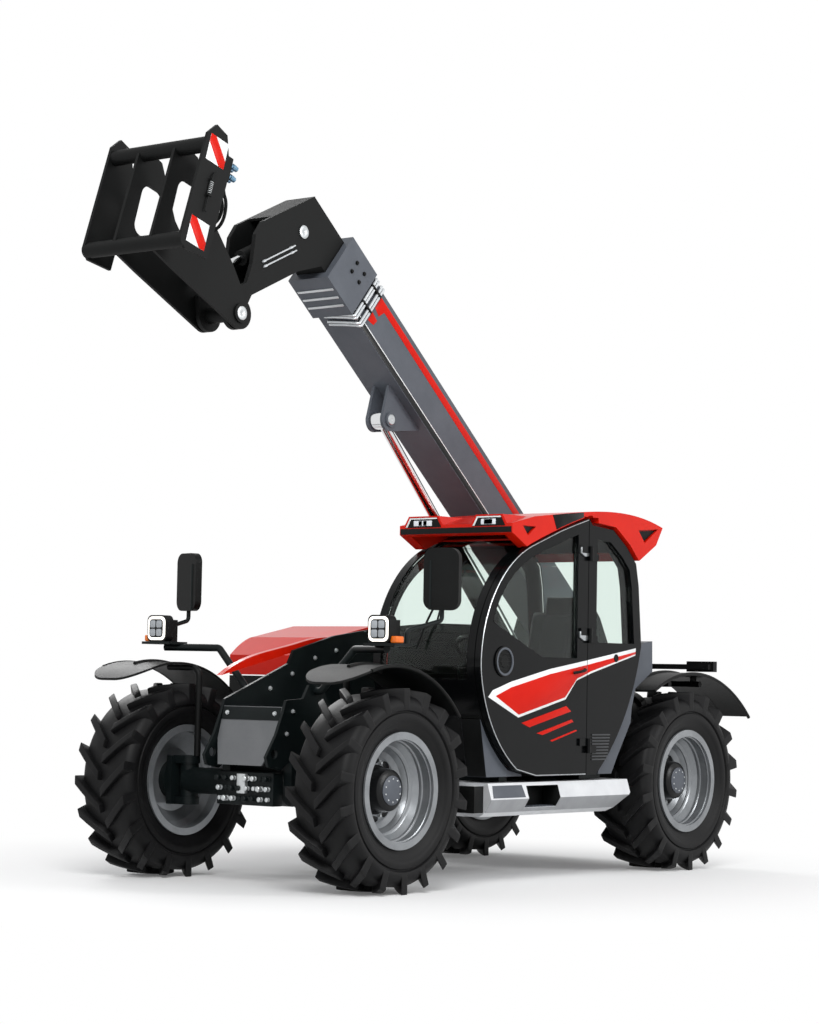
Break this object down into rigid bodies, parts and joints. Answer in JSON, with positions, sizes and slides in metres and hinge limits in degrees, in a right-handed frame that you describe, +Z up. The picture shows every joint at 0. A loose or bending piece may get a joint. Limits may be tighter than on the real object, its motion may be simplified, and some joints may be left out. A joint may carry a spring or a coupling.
{
  "type": "telehandler",
  "caption": "Compact telehandler with a side cab, a raised telescopic boom with goose neck and tool carriage, steered wheels and an engine pod.",
  "frame": {"origin": "on the ground, under the centre of the whole machine's box", "axes": "+Z up, -Y to the front of the machine, +X to its left side, where the cab is"},
  "size_m": [2.2244, 4.9551, 4.2763],
  "materials": {
    "frame_paint": "satin",
    "boom_paint": "satin",
    "black_paint": "satin",
    "grey_paint": "satin",
    "red_panel": "gloss",
    "cab_panel": "gloss",
    "black_plastic": "matte",
    "rim_paint": "satin",
    "tyre_rubber": "matte",
    "tinted_glass": "polished",
    "step_metal": "satin",
    "zinc_pin": "satin",
    "chrome_rod": "polished",
    "seat_cloth": "matte",
    "engine_iron": "matte",
    "lamp_lens": "gloss"
  },
  "bodies": {
    "chassis": {"frame_plates": "frame_paint", "cross_members": "frame_paint", "chassis_pins": "zinc_pin", "nose_cover": "grey_paint", "rear_hitch": "frame_paint", "front_axle": "frame_paint", "rear_axle": "frame_paint", "rear_fenders": "black_plastic", "engine_block": "engine_iron", "engine_cowl": "black_plastic", "cab_frame": "cab_panel", "cab_side": "cab_panel", "cab_glass": "tinted_glass", "cab_roof": "red_panel", "cab_sill": "boom_paint", "seat": "seat_cloth", "controls": "black_plastic", "step_box": "step_metal", "lamp_arms": "frame_paint", "headlamps": "lamp_lens", "mirrors": "black_plastic", "tail_lamps": "black_plastic"},
    "boom": {"outer_boom": "boom_paint", "boom_collar": "grey_paint"},
    "inner_boom": {"inner_boom": "black_paint"},
    "carriage": {"carriage_bracket": "black_paint", "carriage_frame": "black_paint"},
    "lift_barrel": {"lift_barrel": "black_paint"},
    "lift_rod": {"lift_rod": "chrome_rod"},
    "tilt_barrel": {"tilt_barrel": "black_paint"},
    "tilt_rod": {"tilt_rod": "chrome_rod"},
    "door": {"door": "cab_panel", "door_glass": "tinted_glass"},
    "hood": {"hood": "red_panel"},
    "knuckle_front_left": {"knuckle_front_left": "frame_paint", "fender_front_left": "black_plastic"},
    "wheel_front_left": {"rim_front_left": "rim_paint", "tyre_front_left": "tyre_rubber"},
    "knuckle_front_right": {"knuckle_front_right": "frame_paint", "fender_front_right": "black_plastic"},
    "wheel_front_right": {"rim_front_right": "rim_paint", "tyre_front_right": "tyre_rubber"},
    "knuckle_rear_left": {"knuckle_rear_left": "frame_paint"},
    "wheel_rear_left": {"rim_rear_left": "rim_paint", "tyre_rear_left": "tyre_rubber"},
    "knuckle_rear_right": {"knuckle_rear_right": "frame_paint"},
    "wheel_rear_right": {"rim_rear_right": "rim_paint", "tyre_rear_right": "tyre_rubber"}
  },
  "joints": [
    {"name": "steer_front_left", "type": "hinge", "parent": "chassis", "child": "knuckle_front_left", "pos_m": [0.64, -1.213, 0.58], "axis": [0, 0, 1], "range_deg": [-35, 35]},
    {"name": "roll_front_left", "type": "hinge", "parent": "knuckle_front_left", "child": "wheel_front_left", "pos_m": [0.83, -1.213, 0.58], "axis": [1, 0, 0], "continuous": true},
    {"name": "steer_front_right", "type": "hinge", "parent": "chassis", "child": "knuckle_front_right", "pos_m": [-0.64, -1.213, 0.58], "axis": [0, 0, 1], "range_deg": [-35, 35]},
    {"name": "roll_front_right", "type": "hinge", "parent": "knuckle_front_right", "child": "wheel_front_right", "pos_m": [-0.83, -1.213, 0.58], "axis": [1, 0, 0], "continuous": true},
    {"name": "steer_rear_left", "type": "hinge", "parent": "chassis", "child": "knuckle_rear_left", "pos_m": [0.64, 1.787, 0.58], "axis": [0, 0, -1], "range_deg": [-35, 35]},
    {"name": "roll_rear_left", "type": "hinge", "parent": "knuckle_rear_left", "child": "wheel_rear_left", "pos_m": [0.83, 1.787, 0.58], "axis": [1, 0, 0], "continuous": true},
    {"name": "steer_rear_right", "type": "hinge", "parent": "chassis", "child": "knuckle_rear_right", "pos_m": [-0.64, 1.787, 0.58], "axis": [0, 0, -1], "range_deg": [-35, 35]},
    {"name": "roll_rear_right", "type": "hinge", "parent": "knuckle_rear_right", "child": "wheel_rear_right", "pos_m": [-0.83, 1.787, 0.58], "axis": [1, 0, 0], "continuous": true},
    {"name": "boom_lift", "type": "hinge", "parent": "chassis", "child": "boom", "pos_m": [0, 1.707, 1.62], "axis": [-1, 0, 0], "range_deg": [-45, 27]},
    {"name": "boom_extend", "type": "slide", "parent": "boom", "child": "inner_boom", "axis": [0, -0.766, 0.6428], "range_m": [0, 2]},
    {"name": "carriage_tilt", "type": "hinge", "parent": "inner_boom", "child": "carriage", "pos_m": [0, -1.71947, 3.29313], "axis": [1, 0, 0], "range_deg": [-38, 75]},
    {"name": "lift_swing", "type": "hinge", "parent": "chassis", "child": "lift_barrel", "pos_m": [0, 1.487, 1.06], "axis": [1, 0, 0], "range_deg": [-25.41, 42.21]},
    {"name": "lift_stroke", "type": "slide", "parent": "lift_barrel", "child": "lift_rod", "axis": [0, -0.6995, 0.7146], "range_m": [-0.4368, 0.2625]},
    {"name": "tilt_swing", "type": "hinge", "parent": "inner_boom", "child": "tilt_barrel", "pos_m": [0, -1.14108, 3.85411], "axis": [1, 0, 0], "range_deg": [-3.88, 7.47]},
    {"name": "tilt_stroke", "type": "slide", "parent": "tilt_barrel", "child": "tilt_rod", "axis": [0, -0.8991, -0.4378], "range_m": [-0.1429, 0.2811]},
    {"name": "door_hinge", "type": "hinge", "parent": "chassis", "child": "door", "pos_m": [1.033, 0.59, 1.3], "axis": [0, 0, 1], "range_deg": [0, 88]},
    {"name": "hood_hinge", "type": "hinge", "parent": "chassis", "child": "hood", "pos_m": [-0.6, 1.063, 1.218], "axis": [-1, 0, 0], "range_deg": [0, 55]}
  ],
  "couplings": [
    {"joint": "steer_front_right", "follows": "steer_front_left", "ratio": 1},
    {"joint": "steer_rear_right", "follows": "steer_rear_left", "ratio": 1},
    {"joint": "lift_swing", "follows": "boom_lift", "ratio": -0.93365},
    {"joint": "lift_stroke", "follows": "boom_lift", "m_per_rad": 0.55487},
    {"joint": "tilt_swing", "follows": "carriage_tilt", "ratio": 0.09692},
    {"joint": "tilt_stroke", "follows": "carriage_tilt", "m_per_rad": 0.21401}
  ]
}
